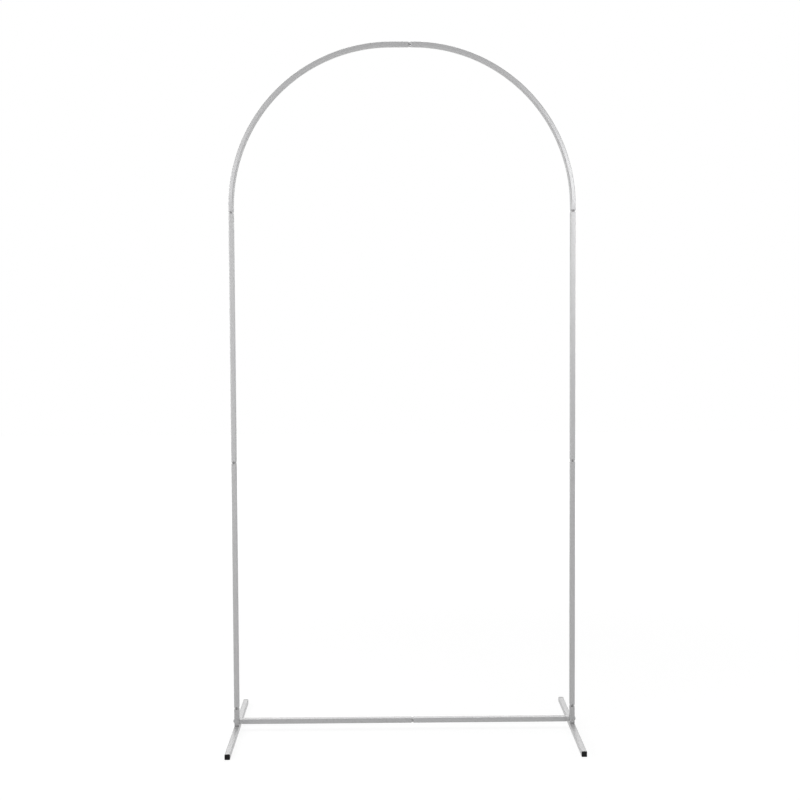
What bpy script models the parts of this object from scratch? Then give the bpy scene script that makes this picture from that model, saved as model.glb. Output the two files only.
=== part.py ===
"""Metal arbor: a free-standing arched stand of slim square steel tube.

The frame is made of tubes that plug into each other: two bent arch tubes, four
post tubes and a two-piece bottom rail. Each plug end is swaged: a groove pressed
into each of its four sides takes up the metal, so that the tube closes in to a
slimmer square that slides into the bore of the next tube. The posts stand in
sockets welded on two foot bars, the rail is bolted to the sockets, and black
plastic caps close the ends of the feet.

Metres, +Z up. The origin is on the ground, midway between the posts. The front
faces -Y, and +X is to the right seen from the front.
"""

import math

import bmesh
import bpy
from mathutils import Matrix, Vector

# Overall sizes
OVERALL_WIDTH = 1.0
OVERALL_HEIGHT = 2.0
OVERALL_DEPTH = 0.5

# Square tube
TUBE_SIZE = 0.015
TUBE_WALL = 0.001
TUBE_CORNER = 0.0018

# Clearance between pieces that fit or rest against each other
FIT = 0.0003

# Swaged joints, with a groove in each side of the plug
JOINT_INSERTION = 0.040
SWAGE_NECK = 0.002
SWAGE_TAPER = 0.007
GROOVE_WIDTH = 0.0056
GROOVE_DEPTH = 0.0026
GROOVE_START = 0.25
CROWN_RUN = 0.002
SPRINGING_RUN = 0.010

# Sockets and rail
SOCKET_HEIGHT = 0.049
RAIL_LIFT = 0.0055
COLLAR_LENGTH = 0.010
COLLAR_STEP = 0.0005
INSERT_DEPTH = 0.020
INSERT_LEAD = 0.001
BEAD_LEG = 0.0026
BEAD_RIPPLE = 0.00012
BEAD_RIPPLES = 6
BEAD_END = 0.45

# Rail bolt
BOLT_RADIUS = 0.003
BOLT_HEAD_RADIUS = 0.0053
BOLT_HEAD_HEIGHT = 0.003
BOLT_KEY = 0.004
BOLT_GRIP = 0.012
BOLT_TO_POST = 0.003
RIM_SHARE = 0.3
KEY_SHARE = 0.6
TIP_CHAMFER_SHARE = 0.25

# Foot caps
CAP_FLANGE = 0.0035
CAP_EDGE = 0.0012
CAP_PLUG = 0.012
CAP_RIBS = 3
CAP_RIB_HEIGHT = 0.0008
CAP_RIB_LEAD = 0.0012
CAP_RIB_BACK = 0.0006

# Facets of the rounded shapes
CORNER_SEGMENTS = 3
BEND_STEP = math.radians(3.6)
SWAGE_STEPS = 5
BEAD_ARC_STEPS = 6
STEPS_A_RIPPLE = 3
DOME_STEPS = 4
TURN_STEPS = 24
SHARP_ANGLE = math.radians(35)
MERGE_DISTANCE = 0.00001

# Sizes that follow
POST_X = OVERALL_WIDTH / 2 - TUBE_SIZE / 2
BORE_SIZE = TUBE_SIZE - 2 * TUBE_WALL
SWAGE_SIZE = BORE_SIZE - 2 * FIT
CROWN_MOUTH_X = JOINT_INSERTION / 2
CROWN_STRAIGHT = CROWN_MOUTH_X + SWAGE_NECK + SWAGE_TAPER + CROWN_RUN
BEND_RADIUS = POST_X - CROWN_STRAIGHT
CROWN_Z = OVERALL_HEIGHT - TUBE_SIZE / 2
BEND_Z = CROWN_Z - BEND_RADIUS
SPRINGING_STRAIGHT = SWAGE_NECK + SWAGE_TAPER + SPRINGING_RUN
SPRINGING_Z = BEND_Z - SPRINGING_STRAIGHT
SOCKET_MOUTH_Z = TUBE_SIZE + SOCKET_HEIGHT
POST_JOINT_Z = (SOCKET_MOUTH_Z + SPRINGING_Z) / 2
RAIL_Z = TUBE_SIZE + RAIL_LIFT + TUBE_SIZE / 2
POST_FOOT_Z = RAIL_Z + BOLT_RADIUS + BOLT_TO_POST
SOCKET_FACE_X = POST_X - TUBE_SIZE / 2
COLLAR_X = SOCKET_FACE_X - FIT
RAIL_END_X = COLLAR_X - COLLAR_LENGTH - FIT
FOOT_BAR_LENGTH = OVERALL_DEPTH - 2 * (CAP_FLANGE + FIT)

# Colour, roughness and metallic value of each finish
PAINT = ("silver_paint", (0.50, 0.50, 0.505), 0.42, 0.0)
WELD = ("painted_weld", (0.42, 0.42, 0.425), 0.55, 0.0)
ZINC = ("zinc_plate", (0.45, 0.45, 0.46), 0.32, 0.9)
PLASTIC = ("black_plastic", (0.012, 0.012, 0.013), 0.38, 0.0)

SIDES = (("left", -1), ("right", 1))
ENDS = (("front", -1), ("rear", 1))

ALONG_X = Matrix.Rotation(math.pi / 2, 4, "Y")
ALONG_Y = Matrix.Rotation(-math.pi / 2, 4, "X")


def clear_scene():
    """Remove every object that the file starts with."""
    for obj in list(bpy.data.objects):
        bpy.data.objects.remove(obj, do_unlink=True)


def new_collection(name):
    """Add a collection to the scene."""
    collection = bpy.data.collections.new(name)
    bpy.context.scene.collection.children.link(collection)
    return collection


def principled(node_name, finish):
    """Make one piece's own material from a finish."""
    label, colour, roughness, metallic = finish
    material = bpy.data.materials.new(f"{node_name}_{label}")
    material.use_nodes = True
    shader = material.node_tree.nodes["Principled BSDF"]
    shader.inputs["Base Color"].default_value = (*colour, 1.0)
    shader.inputs["Roughness"].default_value = roughness
    shader.inputs["Metallic"].default_value = metallic
    material.diffuse_color = (*colour, 1.0)
    return material


def finish_mesh(bm, name):
    """Turn a bmesh into a mesh whose rounds are shaded smooth."""
    mesh = bpy.data.meshes.new(name)
    bm.to_mesh(mesh)
    bm.free()
    mesh.shade_smooth()
    mesh.set_sharp_from_angle(angle=SHARP_ANGLE)
    return mesh


def add_piece(name, mesh, finish, place=None):
    """Add one named piece of the arbor to its collection."""
    obj = bpy.data.objects.new(name, mesh)
    mesh.materials.append(principled(name, finish))
    PARTS.objects.link(obj)
    if place is not None:
        obj.matrix_world = place
    return obj


def cut(obj, cutter_mesh, place):
    """Cut a shape out of a piece with an exact Boolean."""
    cutter = bpy.data.objects.new(cutter_mesh.name, cutter_mesh)
    cutter.matrix_world = place
    cutter.hide_render = True
    cutter.display_type = "WIRE"
    CUTTERS.objects.link(cutter)
    modifier = obj.modifiers.new(cutter_mesh.name, "BOOLEAN")
    modifier.operation = "DIFFERENCE"
    modifier.solver = "EXACT"
    modifier.object = cutter


def drill(radius, length, sides=TURN_STEPS, name="drill"):
    """Make a straight cutter along Z: round, or hexagonal with six sides."""
    bm = bmesh.new()
    bmesh.ops.create_cone(
        bm, cap_ends=True, segments=sides, radius1=radius, radius2=radius, depth=length
    )
    return finish_mesh(bm, name)


def tube_section():
    """Section of the plain tube on XY: four corners, each with the side after it.

    A corner is a list of points, and so is a side: the plain tube's are empty.
    """
    return [(points, []) for points in corner_points(TUBE_SIZE)]


def plug_section(pressed):
    """Section of a swaged tube on XY, with a V-shaped groove in each side.

    pressed runs from 0, the outline of the full tube, to 1, the slim plug.
    """
    size = TUBE_SIZE + (SWAGE_SIZE - TUBE_SIZE) * pressed
    depth = GROOVE_DEPTH * pressed
    half_width = GROOVE_WIDTH / 2 * (GROOVE_START + (1 - GROOVE_START) * pressed)
    section = []
    for quarter, points in enumerate(corner_points(size)):
        turn = Matrix.Rotation(quarter * math.pi / 2, 3, "Z")
        groove = ((half_width, size / 2), (0, size / 2 - depth), (-half_width, size / 2))
        section.append((points, [turn @ Vector((x, y, 0)) for x, y in groove]))
    return section


def corner_points(size):
    """Points of a rounded square's four corners on XY, each a list, turning left."""
    middle = size / 2 - TUBE_CORNER
    corners = []
    for quarter in range(4):
        turn = Matrix.Rotation(quarter * math.pi / 2, 3, "Z")
        points = []
        for step in range(CORNER_SEGMENTS + 1):
            angle = math.pi / 2 * step / CORNER_SEGMENTS
            x = middle + TUBE_CORNER * math.cos(angle)
            y = middle + TUBE_CORNER * math.sin(angle)
            points.append(turn @ Vector((x, y, 0)))
        corners.append(points)
    return corners


def loft(bm, stations):
    """Join sections into a wall, where each station is a place and a section.

    A plain side meets a grooved one in one flat face.
    """
    rings = []
    for place, section in stations:
        ring = []
        for points, groove in section:
            ring.append([bm.verts.new(place @ point) for point in points])
            ring.append([bm.verts.new(place @ point) for point in groove])
        rings.append(ring)
    for before, after in zip(rings, rings[1:]):
        for index in range(0, len(before), 2):
            following = (index + 2) % len(before)
            side = [before[index][-1], *before[index + 1], before[following][0]]
            side_after = [after[index][-1], *after[index + 1], after[following][0]]
            join(bm, before[index], after[index])
            if len(side) == len(side_after):
                join(bm, side, side_after)
            else:
                bm.faces.new([*side, *reversed(side_after)])


def join(bm, line, line_after):
    """Add a row of faces between two lines of as many vertices."""
    for i in range(len(line) - 1):
        bm.faces.new((line[i], line[i + 1], line_after[i + 1], line_after[i]))


def square_outline(bm, size, corner):
    """Draw a rounded square on XY, and return its edges."""
    quarter_turn = Matrix.Rotation(math.pi / 4, 4, "Z")
    bmesh.ops.create_circle(
        bm, cap_ends=True, segments=4, radius=size / math.sqrt(2), matrix=quarter_turn
    )
    bmesh.ops.bevel(
        bm,
        geom=bm.verts[:],
        offset=corner,
        offset_type="OFFSET",
        segments=CORNER_SEGMENTS,
        profile=0.5,
        affect="VERTICES",
    )
    bmesh.ops.delete(bm, geom=bm.faces[:], context="FACES_ONLY")
    return bm.edges[:]


def fillet_outline(bm, leg):
    """Draw the quarter-round section of a weld bead on XY, and return its edges."""
    ring = [bm.verts.new((0, 0, 0))]
    for step in range(BEAD_ARC_STEPS + 1):
        angle = math.pi / 2 * step / BEAD_ARC_STEPS
        ring.append(bm.verts.new((leg * math.cos(angle), leg * math.sin(angle), 0)))
    return [bm.edges.new((ring[i - 1], ring[i])) for i in range(len(ring))]


def sweep(bm, edges, stations):
    """Carry an outline through stations, each a place and a scale, and close its ends."""
    frames = [place @ Matrix.Diagonal((scale, scale, 1, 1)) for place, scale in stations]
    bmesh.ops.transform(bm, matrix=frames[0], verts=bm.verts[:])
    first = edges
    for before, after in zip(frames, frames[1:]):
        grown = bmesh.ops.extrude_edge_only(bm, edges=edges)["geom"]
        verts = [item for item in grown if isinstance(item, bmesh.types.BMVert)]
        edges = [item for item in grown if isinstance(item, bmesh.types.BMEdge)]
        bmesh.ops.transform(bm, matrix=after @ before.inverted(), verts=verts)
    bmesh.ops.contextual_create(bm, geom=first)
    bmesh.ops.contextual_create(bm, geom=edges)
    bmesh.ops.recalc_face_normals(bm, faces=bm.faces[:])


def tube(name, stations):
    """Make a square tube with its real wall, through stations along its own +Z."""
    bm = bmesh.new()
    loft(bm, stations)
    obj = add_piece(name, finish_mesh(bm, name), PAINT)
    wall = obj.modifiers.new("wall", "SOLIDIFY")
    wall.thickness = TUBE_WALL
    wall.offset = -1
    wall.use_even_offset = True
    return obj


def plug_end(mouth, inserted, towards_tube=1):
    """Marks of a plug end as (distance along the tube, section), at growing distances.

    mouth is where the other tube's mouth is, and inserted is how deep the tip goes.
    towards_tube is -1 where the plug is the far end of its tube. Outside the mouth,
    the slim neck and its grooves ease out to the full tube along a cosine.
    """
    marks = [(mouth - towards_tube * inserted, plug_section(1))]
    for step in range(SWAGE_STEPS + 1):
        share = step / SWAGE_STEPS
        pressed = (1 + math.cos(math.pi * share)) / 2
        distance = mouth + towards_tube * (SWAGE_NECK + SWAGE_TAPER * share)
        marks.append((distance, plug_section(pressed)))
    return marks[::towards_tube]


def arch_place(side, distance):
    """Place on an arch tube's centre line, from its springing towards the crown."""
    bend_length = BEND_RADIUS * math.pi / 2
    along_bend = min(max(distance - SPRINGING_STRAIGHT, 0), bend_length)
    below = min(distance - SPRINGING_STRAIGHT, 0)
    beyond = max(distance - SPRINGING_STRAIGHT - bend_length, 0)
    angle = along_bend / BEND_RADIUS
    x = CROWN_STRAIGHT + BEND_RADIUS * math.cos(angle) - beyond
    z = BEND_Z + BEND_RADIUS * math.sin(angle) + below
    return Matrix.Translation((side * x, 0, z)) @ Matrix.Rotation(-side * angle, 4, "Y")


def arch_tube(label, side):
    """Make one bent half of the arch. The right one plugs into the left one."""
    bend_length = BEND_RADIUS * math.pi / 2
    bend_end = SPRINGING_STRAIGHT + bend_length
    steps = round(math.pi / 2 / BEND_STEP)
    marks = plug_end(0, JOINT_INSERTION)
    for step in range(steps + 1):
        marks.append((SPRINGING_STRAIGHT + bend_length * step / steps, tube_section()))
    crown_mouth = bend_end + CROWN_STRAIGHT - side * CROWN_MOUTH_X
    if side > 0:
        marks += plug_end(crown_mouth, JOINT_INSERTION, -1)
    else:
        marks.append((crown_mouth, tube_section()))
    tube(f"arch_tube_{label}", [(arch_place(side, mark), section) for mark, section in marks])


def post_tubes(label, side):
    """Make the two tubes of one post, each with a plug at its lower end."""
    lower = plug_end(SOCKET_MOUTH_Z, SOCKET_MOUTH_Z - POST_FOOT_Z)
    lower.append((POST_JOINT_Z, tube_section()))
    upper = plug_end(POST_JOINT_Z, JOINT_INSERTION)
    upper.append((SPRINGING_Z, tube_section()))
    for level, marks in (("lower", lower), ("upper", upper)):
        stations = [
            (Matrix.Translation((side * POST_X, 0, z)), section) for z, section in marks
        ]
        tube(f"{level}_post_{label}", stations)


def bottom_rail():
    """Make the rail's two tubes: the right one plugs into the left one."""
    left = [(-RAIL_END_X, tube_section()), (CROWN_MOUTH_X, tube_section())]
    right = [*plug_end(CROWN_MOUTH_X, JOINT_INSERTION), (RAIL_END_X, tube_section())]
    for label, marks in (("left", left), ("right", right)):
        stations = [
            (Matrix.Translation((x, 0, RAIL_Z)) @ ALONG_X, section) for x, section in marks
        ]
        tube(f"bottom_rail_{label}", stations)


def post_socket(label, side):
    """Make the upright socket on a foot bar, drilled for the rail bolt."""
    stations = [
        (Matrix.Translation((side * POST_X, 0, z)), tube_section())
        for z in (TUBE_SIZE + FIT, SOCKET_MOUTH_Z)
    ]
    socket = tube(f"post_socket_{label}", stations)
    bolt_place = Matrix.Translation((side * POST_X, 0, RAIL_Z)) @ ALONG_X
    cut(socket, drill(BOLT_RADIUS + FIT, 2 * TUBE_SIZE), bolt_place)


def foot_bar(label, side):
    """Make the tube that lies on the ground from front to back."""
    stations = [
        (Matrix.Translation((side * POST_X, y, TUBE_SIZE / 2)) @ ALONG_Y, tube_section())
        for y in (-FOOT_BAR_LENGTH / 2, FOOT_BAR_LENGTH / 2)
    ]
    tube(f"foot_bar_{label}", stations)


def rounded_block(name, finish, place, marks):
    """Make a solid of square sections, each mark a distance along Z and a size."""
    bm = bmesh.new()
    edges = square_outline(bm, TUBE_SIZE, TUBE_CORNER)
    stations = [(place @ Matrix.Translation((0, 0, z)), size / TUBE_SIZE) for z, size in marks]
    sweep(bm, edges, stations)
    return add_piece(name, finish_mesh(bm, name), finish)


def rail_insert(label, side):
    """Make the threaded plug in a rail's end, with its collar against the socket."""
    collar = TUBE_SIZE - 2 * COLLAR_STEP
    tip = COLLAR_LENGTH + INSERT_DEPTH
    marks = [
        (0, collar),
        (COLLAR_LENGTH, collar),
        (COLLAR_LENGTH, SWAGE_SIZE),
        (tip - INSERT_LEAD, SWAGE_SIZE),
        (tip, SWAGE_SIZE - 2 * INSERT_LEAD),
    ]
    place = Matrix.Translation((side * COLLAR_X, 0, RAIL_Z)) @ Matrix.Rotation(
        -side * math.pi / 2, 4, "Y"
    )
    insert = rounded_block(f"rail_insert_{label}", PAINT, place, marks)
    middle = place @ Matrix.Translation((0, 0, tip / 2))
    cut(insert, drill(BOLT_RADIUS + FIT, 2 * tip), middle)


def foot_cap(label, side, end_label, end):
    """Make a ribbed plastic plug whose flange is flush with the foot bar."""
    bore_face = CAP_FLANGE + FIT
    core = SWAGE_SIZE - 2 * CAP_RIB_HEIGHT
    pitch = CAP_PLUG / (CAP_RIBS + 1)
    marks = []
    for step in range(CORNER_SEGMENTS + 1):
        angle = math.pi / 2 * step / CORNER_SEGMENTS
        depth = CAP_EDGE * (1 - math.cos(angle))
        marks.append((depth, TUBE_SIZE - 2 * CAP_EDGE * (1 - math.sin(angle))))
    marks += [(CAP_FLANGE, TUBE_SIZE), (CAP_FLANGE, core)]
    for rib in range(1, CAP_RIBS + 1):
        crest = bore_face + rib * pitch
        marks += [
            (crest - CAP_RIB_LEAD, core),
            (crest, SWAGE_SIZE),
            (crest + CAP_RIB_BACK, core),
        ]
    marks.append((bore_face + CAP_PLUG, core))
    place = Matrix.Translation((side * POST_X, end * OVERALL_DEPTH / 2, TUBE_SIZE / 2))
    inwards = place @ Matrix.Rotation(end * math.pi / 2, 4, "X")
    rounded_block(f"foot_cap_{end_label}_{label}", PLASTIC, inwards, marks)


def weld_bead(label, side, end_label, end):
    """Make the rippled fillet weld between a socket's foot and its bar."""
    length = TUBE_SIZE - 2 * TUBE_CORNER
    corner = Vector((side * POST_X, end * (TUBE_SIZE / 2 + FIT), TUBE_SIZE + FIT))
    turn = Matrix(((0, 0, end, 0), (end, 0, 0, 0), (0, 1, 0, 0), (0, 0, 0, 1)))
    steps = STEPS_A_RIPPLE * BEAD_RIPPLES
    stations = []
    for step in range(steps + 1):
        share = step / steps
        fullness = BEAD_END + (1 - BEAD_END) * math.sqrt(math.sin(math.pi * share))
        ripple = BEAD_RIPPLE * math.cos(2 * math.pi * BEAD_RIPPLES * share)
        scale = fullness * (1 - ripple / BEAD_LEG)
        offset = Matrix.Translation((0, 0, (share - 0.5) * length))
        stations.append((Matrix.Translation(corner) @ turn @ offset, scale))
    bm = bmesh.new()
    sweep(bm, fillet_outline(bm, BEAD_LEG), stations)
    name = f"weld_bead_{end_label}_{label}"
    add_piece(name, finish_mesh(bm, name), WELD)


def rail_bolt(label, side):
    """Turn the domed bolt that runs through a socket into the rail's insert."""
    under_head = Vector((side * (OVERALL_WIDTH / 2 + FIT), 0, RAIL_Z))
    place = Matrix.Translation(under_head) @ Matrix.Rotation(side * math.pi / 2, 4, "Y")
    name = f"rail_bolt_{label}"
    length = TUBE_SIZE + COLLAR_LENGTH + BOLT_GRIP
    rise = BOLT_HEAD_HEIGHT * (1 - RIM_SHARE)
    dome_radius = (BOLT_HEAD_RADIUS**2 + rise**2) / (2 * rise)
    dome_angle = math.asin(BOLT_HEAD_RADIUS / dome_radius)
    chamfer = BOLT_RADIUS * TIP_CHAMFER_SHARE
    profile = []
    for step in range(DOME_STEPS + 1):
        angle = dome_angle * step / DOME_STEPS
        height = BOLT_HEAD_HEIGHT - dome_radius * (1 - math.cos(angle))
        profile.append((dome_radius * math.sin(angle), height))
    profile += [
        (BOLT_HEAD_RADIUS, 0),
        (BOLT_RADIUS, 0),
        (BOLT_RADIUS, chamfer - length),
        (BOLT_RADIUS - chamfer, -length),
        (0, -length),
    ]
    bm = bmesh.new()
    verts = [bm.verts.new((radius, 0, height)) for radius, height in profile]
    for upper, lower in zip(verts, verts[1:]):
        bm.edges.new((upper, lower))
    obj = add_piece(name, finish_mesh(bm, name), ZINC, place)
    turn = obj.modifiers.new("turn", "SCREW")
    turn.axis = "Z"
    turn.steps = TURN_STEPS
    turn.render_steps = TURN_STEPS
    turn.use_merge_vertices = True
    turn.merge_threshold = MERGE_DISTANCE
    recess_depth = BOLT_HEAD_HEIGHT * KEY_SHARE
    recess = drill(BOLT_KEY / math.sqrt(3), 2 * recess_depth, 6, "key_recess")
    cut(obj, recess, place @ Matrix.Translation((0, 0, BOLT_HEAD_HEIGHT)))


def build_arbor():
    """Build every piece, from the ground up."""
    for label, side in SIDES:
        foot_bar(label, side)
        for end_label, end in ENDS:
            foot_cap(label, side, end_label, end)
            weld_bead(label, side, end_label, end)
        post_socket(label, side)
        rail_insert(label, side)
        rail_bolt(label, side)
        post_tubes(label, side)
        arch_tube(label, side)
    bottom_rail()


clear_scene()
PARTS = new_collection("Metal arbor")
CUTTERS = new_collection("Cutters")
build_arbor()
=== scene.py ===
"""Looks of a metal arbor: a free-standing arched stand of slim square steel tube.

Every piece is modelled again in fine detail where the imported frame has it, and is
dressed in its finish: silver powder coat, painted weld, zinc plate or black plastic.
Metres, +Z up, the front faces -Y, and +X is to the right seen from the front.
"""

from __future__ import annotations

import logging
import math
from collections.abc import Callable
from dataclasses import dataclass, field
from enum import Enum
from typing import ClassVar

import bmesh
import bpy
from mathutils import Matrix, Vector

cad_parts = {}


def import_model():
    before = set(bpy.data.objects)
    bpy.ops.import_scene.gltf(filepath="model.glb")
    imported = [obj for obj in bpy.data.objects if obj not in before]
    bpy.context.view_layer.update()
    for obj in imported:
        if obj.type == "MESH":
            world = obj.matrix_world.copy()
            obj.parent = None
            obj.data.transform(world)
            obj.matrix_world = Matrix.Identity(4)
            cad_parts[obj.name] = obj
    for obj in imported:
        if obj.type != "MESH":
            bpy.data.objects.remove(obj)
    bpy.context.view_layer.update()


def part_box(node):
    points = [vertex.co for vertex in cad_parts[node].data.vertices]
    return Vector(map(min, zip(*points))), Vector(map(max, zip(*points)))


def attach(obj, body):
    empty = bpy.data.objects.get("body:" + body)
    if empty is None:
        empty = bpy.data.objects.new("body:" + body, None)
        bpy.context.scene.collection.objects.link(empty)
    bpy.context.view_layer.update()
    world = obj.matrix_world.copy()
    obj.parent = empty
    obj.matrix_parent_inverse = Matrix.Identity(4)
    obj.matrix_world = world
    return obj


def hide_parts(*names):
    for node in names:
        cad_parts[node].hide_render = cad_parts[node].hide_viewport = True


LOG = logging.getLogger("arbor")
MILLIMETRE = 0.001
MICRON = 0.000001
QUARTER_TURN = math.pi / 2
RIGHTWARDS = Vector((1, 0, 0))
UP = Vector((0, 0, 1))

# How round a cut edge gets, which edges stay crisp, and the turn of a full edge or hollow.
ROUNDING_STEPS = 3
ROUNDED_TURN = math.radians(40)
CRISP_TURN = math.radians(50)
FULL_TURN = math.radians(20)

# Numbers of a Mix node's sockets when it mixes colours.
MIX_UNDER, MIX_OVER, MIX_RESULT = 6, 7, 2
# Kinds of the groups' sockets that aren't plain values.
SOCKET_KINDS = {"Place": "Vector", "Normal": "Vector", "Colour": "Color"}

Colour = tuple[float, float, float]
Point = tuple[float, float, float]
Marks = list[tuple[float, float]]
Values = tuple[tuple[str, float], ...]
Weight = Callable[[Vector], float]
Straighten = Callable[[Vector], Vector]
Socket = bpy.types.NodeSocket


class Direction(Enum):
    """One of two opposite sides, worth -1 or 1 along its axis."""

    @property
    def label(self) -> str:
        """Word for it in the names of pieces."""
        return self.name.lower()


class Side(Direction):
    """Left or right of the arbor, seen from the front."""

    LEFT = -1
    RIGHT = 1


class End(Direction):
    """Front or rear end of a foot."""

    FRONT = -1
    REAR = 1


class Axis(Enum):
    """Axis that a straight tube lies along, by its number."""

    X = 0
    Y = 1
    Z = 2

    @property
    def direction(self) -> Vector:
        """Unit vector along the axis."""
        return Vector([float(number == self.value) for number in range(3)])


class Slot(Enum):
    """Material slots of the record."""

    PAINT = "frame_paint"
    WELD = "weld"
    ZINC = "zinc"
    PLASTIC = "cap_plastic"


class Mask(Enum):
    """Values kept in each mesh for its material, by the names of their attributes."""

    DRAWN = "drawn_place"
    EDGE = "edge"
    HOLLOW = "hollow"
    RUB_AND_END_SHADE = "rub_and_end_shade"


def held(value: float) -> float:
    """Hold a value between 0 and 1."""
    return min(max(value, 0.0), 1.0)


def eased(share: float) -> float:
    """Ease a share of the way along half a cosine wave."""
    return (1 - math.cos(math.pi * held(share))) / 2


def bell(offset: float, half_width: float) -> float:
    """Height of a rounded hump, 1 in its middle and 0 at its two edges."""
    inside = half_width > 0 and abs(offset) < half_width
    return math.cos(QUARTER_TURN * offset / half_width) ** 2 if inside else 0.0


@dataclass(frozen=True)
class SquareTube:
    """The drawn square tube that the whole frame is made of."""

    size: float = 15 * MILLIMETRE
    wall: float = 1 * MILLIMETRE
    corner: float = 1.8 * MILLIMETRE
    corner_steps: int = 4
    side_cuts: int = 11

    @property
    def flat(self) -> float:
        """Half the width of the flat part of a side."""
        return self.size / 2 - self.corner


@dataclass(frozen=True)
class SwagedPlug:
    """Plug end of a tube, with a groove pressed into the middle of each side."""

    size: float = 12.4 * MILLIMETRE
    neck: float = 2 * MILLIMETRE
    taper: float = 7 * MILLIMETRE
    taper_steps: int = 12
    groove_half_width: float = 2.9 * MILLIMETRE
    groove_depth: float = 2.7 * MILLIMETRE
    groove_start: float = 0.3

    def pressed(self, beyond_mouth: float) -> float:
        """Share of the pressing at a distance outside the mouth, 1 at the slim plug."""
        return 1 - eased((beyond_mouth - self.neck) / self.taper)

    def groove(self, across: float, beyond_mouth: float) -> float:
        """Share of the groove's depth at a point of the tube's side.

        Args:
            across: Distance from the middle of the side.
            beyond_mouth: Distance from the mouth, negative inside the other tube.

        Returns:
            1 in the bottom of the full groove, and 0 outside it.
        """
        share = self.pressed(beyond_mouth)
        spread = self.groove_start + (1 - self.groove_start) * share
        return share * bell(across, self.groove_half_width * spread)

    def marks(self, mouth: float, tip: float) -> Marks:
        """Rings of the plug, from its tip to the full tube.

        Args:
            mouth: Distance along the tube at which the other tube's mouth is.
            tip: Distance along the tube at which the plug ends.

        Returns:
            Distance and size share of each ring.
        """
        towards = 1 if mouth > tip else -1
        slim = self.size / TUBE.size
        marks = [(tip, slim)]
        for step in range(self.taper_steps + 1):
            beyond = self.neck + self.taper * step / self.taper_steps
            marks.append((mouth + towards * beyond, 1 - (1 - slim) * self.pressed(beyond)))
        return marks


TUBE = SquareTube()
PLUG = SwagedPlug()


@dataclass(frozen=True)
class FrameSizes:
    """Places in the whole arbor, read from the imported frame."""

    post_x: float
    crown_z: float
    crown_mouth_x: float
    springing_z: float
    joint_z: float
    socket_foot_z: float
    socket_mouth_z: float
    post_foot_z: float
    rail_z: float
    rail_end_x: float
    rail_mouth_x: float
    bar_end_y: float
    foot_end_y: float
    insertion: float

    @classmethod
    def read(cls) -> FrameSizes:
        """Read every place from the boxes of the frame's nodes.

        Returns:
            The places in the whole arbor.
        """
        left_arch, right_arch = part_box("arch_tube_left"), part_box("arch_tube_right")
        lower_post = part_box("lower_post_right")
        socket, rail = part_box("post_socket_right"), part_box("bottom_rail_left")
        return cls(
            post_x=(socket[0].x + socket[1].x) / 2,
            crown_z=left_arch[1].z - TUBE.size / 2,
            crown_mouth_x=left_arch[1].x,
            springing_z=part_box("upper_post_right")[1].z,
            joint_z=lower_post[1].z,
            socket_foot_z=socket[0].z,
            socket_mouth_z=socket[1].z,
            post_foot_z=lower_post[0].z,
            rail_z=(rail[0].z + rail[1].z) / 2,
            rail_end_x=-rail[0].x,
            rail_mouth_x=rail[1].x,
            bar_end_y=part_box("foot_bar_right")[1].y,
            foot_end_y=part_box("foot_cap_rear_right")[1].y,
            insertion=left_arch[1].x - right_arch[0].x,
        )

    def under_post(self, side: Side) -> Vector:
        """Point on the ground under a post."""
        return Vector((side.value * self.post_x, 0, 0))


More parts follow.
